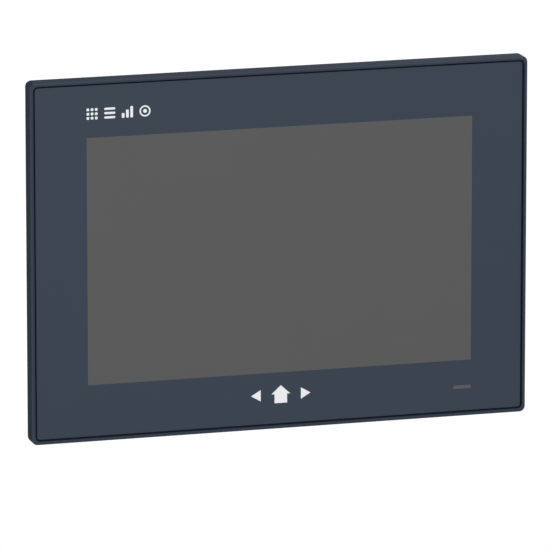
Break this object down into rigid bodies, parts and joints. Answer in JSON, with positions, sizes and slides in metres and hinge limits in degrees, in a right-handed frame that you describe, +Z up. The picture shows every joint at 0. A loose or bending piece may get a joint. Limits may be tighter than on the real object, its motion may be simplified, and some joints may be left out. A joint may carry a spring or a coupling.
{
  "type": "hmi touch panel",
  "caption": "Wide flat touch screen in a thin rimmed bezel, with a shallow tray and a finned fanless computer box behind it, held in a cabinet door by screw clamps.",
  "frame": {"origin": "centre of the front surface of the cover glass", "axes": "+X to the right and +Z up for somebody facing the screen, +Y into the cabinet"},
  "size_m": [0.2824, 0.0645, 0.201],
  "materials": {
    "bezel_paint": "satin",
    "printed_glass": "satin",
    "adhesive": "matte",
    "gasket_rubber": "matte",
    "light_pipe": "satin",
    "sensor_film": "gloss",
    "lcd_black": "satin",
    "backlight_metal": "satin",
    "coated_steel": "matte",
    "zinc_steel": "satin",
    "machine_steel": "satin",
    "sink_aluminium": "satin",
    "drive_case": "satin",
    "circuit_board": "satin",
    "cell_steel": "polished",
    "port_shell": "satin",
    "black_plastic": "matte",
    "green_plastic": "satin",
    "flat_cable": "satin"
  },
  "bodies": {
    "housing": {"front_bezel": "bezel_paint", "cover_glass": "printed_glass", "glass_adhesive_tape": "adhesive", "panel_gasket": "gasket_rubber", "status_light_pipe": "light_pipe", "status_led_board": "circuit_board", "touch_sensor": "sensor_film", "lcd_cell": "lcd_black", "backlight_unit": "backlight_metal", "lcd_bracket": "zinc_steel", "touch_controller_board": "circuit_board", "touch_flat_cable": "flat_cable", "display_flat_cable": "flat_cable", "display_tray": "coated_steel", "box_chassis": "coated_steel", "main_board": "circuit_board", "thermal_block": "sink_aluminium", "memory_module": "circuit_board", "coin_cell": "cell_steel", "heat_sink": "sink_aluminium", "door_hinge_pin": "machine_steel", "drive_guide": "zinc_steel", "dc_power_header": "green_plastic", "serial_port": "port_shell", "usb_port_pair_1": "port_shell", "usb_port_pair_2": "port_shell", "ethernet_port_1": "port_shell", "ethernet_port_2": "port_shell", "video_port": "port_shell", "ground_stud": "machine_steel", "heat_sink_screw_1": "machine_steel", "heat_sink_screw_2": "machine_steel", "heat_sink_screw_3": "machine_steel", "heat_sink_screw_4": "machine_steel"},
    "service_door": {"service_door": "coated_steel"},
    "door_screw_washer": {"door_thumbscrew_washer": "zinc_steel"},
    "door_screw": {"door_thumbscrew": "machine_steel"},
    "drive_carrier": {"drive_tray": "zinc_steel", "solid_state_drive": "drive_case"},
    "drive_screw_washer": {"drive_thumbscrew_washer": "zinc_steel"},
    "drive_screw": {"drive_thumbscrew": "machine_steel"},
    "power_plug": {"dc_power_plug": "green_plastic"},
    "wire_screw_1": {"wire_screw_1": "machine_steel"},
    "wire_screw_2": {"wire_screw_2": "machine_steel"},
    "wire_screw_3": {"wire_screw_3": "machine_steel"},
    "power_button": {"power_button": "black_plastic"},
    "ground_washer": {"ground_washer": "zinc_steel"},
    "ground_nut": {"ground_nut": "zinc_steel"},
    "clamp_1": {"clamp_body_1": "zinc_steel"},
    "clamp_foot_1": {"clamp_foot_1": "black_plastic"},
    "clamp_screw_1": {"clamp_screw_1": "machine_steel"},
    "clamp_2": {"clamp_body_2": "zinc_steel"},
    "clamp_foot_2": {"clamp_foot_2": "black_plastic"},
    "clamp_screw_2": {"clamp_screw_2": "machine_steel"},
    "clamp_3": {"clamp_body_3": "zinc_steel"},
    "clamp_foot_3": {"clamp_foot_3": "black_plastic"},
    "clamp_screw_3": {"clamp_screw_3": "machine_steel"},
    "clamp_4": {"clamp_body_4": "zinc_steel"},
    "clamp_foot_4": {"clamp_foot_4": "black_plastic"},
    "clamp_screw_4": {"clamp_screw_4": "machine_steel"}
  },
  "joints": [
    {"name": "service_door_swing", "type": "hinge", "parent": "housing", "child": "service_door", "pos_m": [0, 0.0537, 0.0796], "axis": [1, 0, 0], "range_deg": [0, 110]},
    {"name": "door_screw_travel", "type": "slide", "parent": "service_door", "child": "door_screw_washer", "axis": [0, 1, 0], "range_m": [0, 0.0031]},
    {"name": "door_screw_turn", "type": "hinge", "parent": "door_screw_washer", "child": "door_screw", "pos_m": [0, 0.0534, 0.023], "axis": [0, 1, 0], "range_deg": [0, 1600]},
    {"name": "drive_tray_slide", "type": "slide", "parent": "housing", "child": "drive_carrier", "axis": [1, 0, 0], "range_m": [0, 0.095]},
    {"name": "drive_screw_travel", "type": "slide", "parent": "drive_carrier", "child": "drive_screw_washer", "axis": [1, 0, 0], "range_m": [0, 0.0031]},
    {"name": "drive_screw_turn", "type": "hinge", "parent": "drive_screw_washer", "child": "drive_screw", "pos_m": [0.1178, 0.0425, -0.006], "axis": [1, 0, 0], "range_deg": [0, 1600]},
    {"name": "power_plug_pull", "type": "slide", "parent": "housing", "child": "power_plug", "axis": [0, 0, -1], "range_m": [0, 0.012]},
    {"name": "wire_screw_1_turn", "type": "hinge", "parent": "power_plug", "child": "wire_screw_1", "pos_m": [0.06092, 0.0421, -0.0858], "axis": [0, 1, 0], "range_deg": [0, 1440]},
    {"name": "wire_screw_2_turn", "type": "hinge", "parent": "power_plug", "child": "wire_screw_2", "pos_m": [0.066, 0.0421, -0.0858], "axis": [0, 1, 0], "range_deg": [0, 1440]},
    {"name": "wire_screw_3_turn", "type": "hinge", "parent": "power_plug", "child": "wire_screw_3", "pos_m": [0.07108, 0.0421, -0.0858], "axis": [0, 1, 0], "range_deg": [0, 1440]},
    {"name": "power_button_press", "type": "slide", "parent": "housing", "child": "power_button", "axis": [0, 0, 1], "range_m": [0, 0.0008], "stiffness_N_per_m": 120},
    {"name": "ground_washer_travel", "type": "slide", "parent": "housing", "child": "ground_washer", "axis": [0, 0, -1], "range_m": [0, 0.0035]},
    {"name": "ground_nut_turn", "type": "hinge", "parent": "ground_washer", "child": "ground_nut", "pos_m": [0.084, 0.0388, -0.0791], "axis": [0, 0, -1], "range_deg": [0, 1801]},
    {"name": "clamp_1_release", "type": "slide", "parent": "housing", "child": "clamp_1", "axis": [0, -1, 0], "range_m": [0, 0.0024]},
    {"name": "clamp_1_foot_travel", "type": "slide", "parent": "clamp_1", "child": "clamp_foot_1", "axis": [0, 1, 0], "range_m": [-0.002, 0.0025]},
    {"name": "clamp_1_screw_turn", "type": "hinge", "parent": "clamp_foot_1", "child": "clamp_screw_1", "pos_m": [-0.1, 0.0132, 0.0913], "axis": [0, 1, 0], "range_deg": [-1030, 1287]},
    {"name": "clamp_2_release", "type": "slide", "parent": "housing", "child": "clamp_2", "axis": [0, -1, 0], "range_m": [0, 0.0024]},
    {"name": "clamp_2_foot_travel", "type": "slide", "parent": "clamp_2", "child": "clamp_foot_2", "axis": [0, 1, 0], "range_m": [-0.002, 0.0025]},
    {"name": "clamp_2_screw_turn", "type": "hinge", "parent": "clamp_foot_2", "child": "clamp_screw_2", "pos_m": [0.1, 0.0132, 0.0913], "axis": [0, 1, 0], "range_deg": [-1030, 1287]},
    {"name": "clamp_3_release", "type": "slide", "parent": "housing", "child": "clamp_3", "axis": [0, -1, 0], "range_m": [0, 0.0024]},
    {"name": "clamp_3_foot_travel", "type": "slide", "parent": "clamp_3", "child": "clamp_foot_3", "axis": [0, 1, 0], "range_m": [-0.002, 0.0025]},
    {"name": "clamp_3_screw_turn", "type": "hinge", "parent": "clamp_foot_3", "child": "clamp_screw_3", "pos_m": [-0.1, 0.0132, -0.0913], "axis": [0, 1, 0], "range_deg": [-1030, 1287]},
    {"name": "clamp_4_release", "type": "slide", "parent": "housing", "child": "clamp_4", "axis": [0, -1, 0], "range_m": [0, 0.0024]},
    {"name": "clamp_4_foot_travel", "type": "slide", "parent": "clamp_4", "child": "clamp_foot_4", "axis": [0, 1, 0], "range_m": [-0.002, 0.0025]},
    {"name": "clamp_4_screw_turn", "type": "hinge", "parent": "clamp_foot_4", "child": "clamp_screw_4", "pos_m": [0.1, 0.0132, -0.0913], "axis": [0, 1, 0], "range_deg": [-1030, 1287]}
  ],
  "couplings": [
    {"joint": "door_screw_turn", "follows": "door_screw_travel", "rad_per_m": 8976},
    {"joint": "drive_screw_turn", "follows": "drive_screw_travel", "rad_per_m": 8976},
    {"joint": "ground_nut_turn", "follows": "ground_washer_travel", "rad_per_m": 8976},
    {"joint": "clamp_1_screw_turn", "follows": "clamp_1_foot_travel", "rad_per_m": 8976},
    {"joint": "clamp_2_screw_turn", "follows": "clamp_2_foot_travel", "rad_per_m": 8976},
    {"joint": "clamp_3_screw_turn", "follows": "clamp_3_foot_travel", "rad_per_m": 8976},
    {"joint": "clamp_4_screw_turn", "follows": "clamp_4_foot_travel", "rad_per_m": 8976}
  ]
}
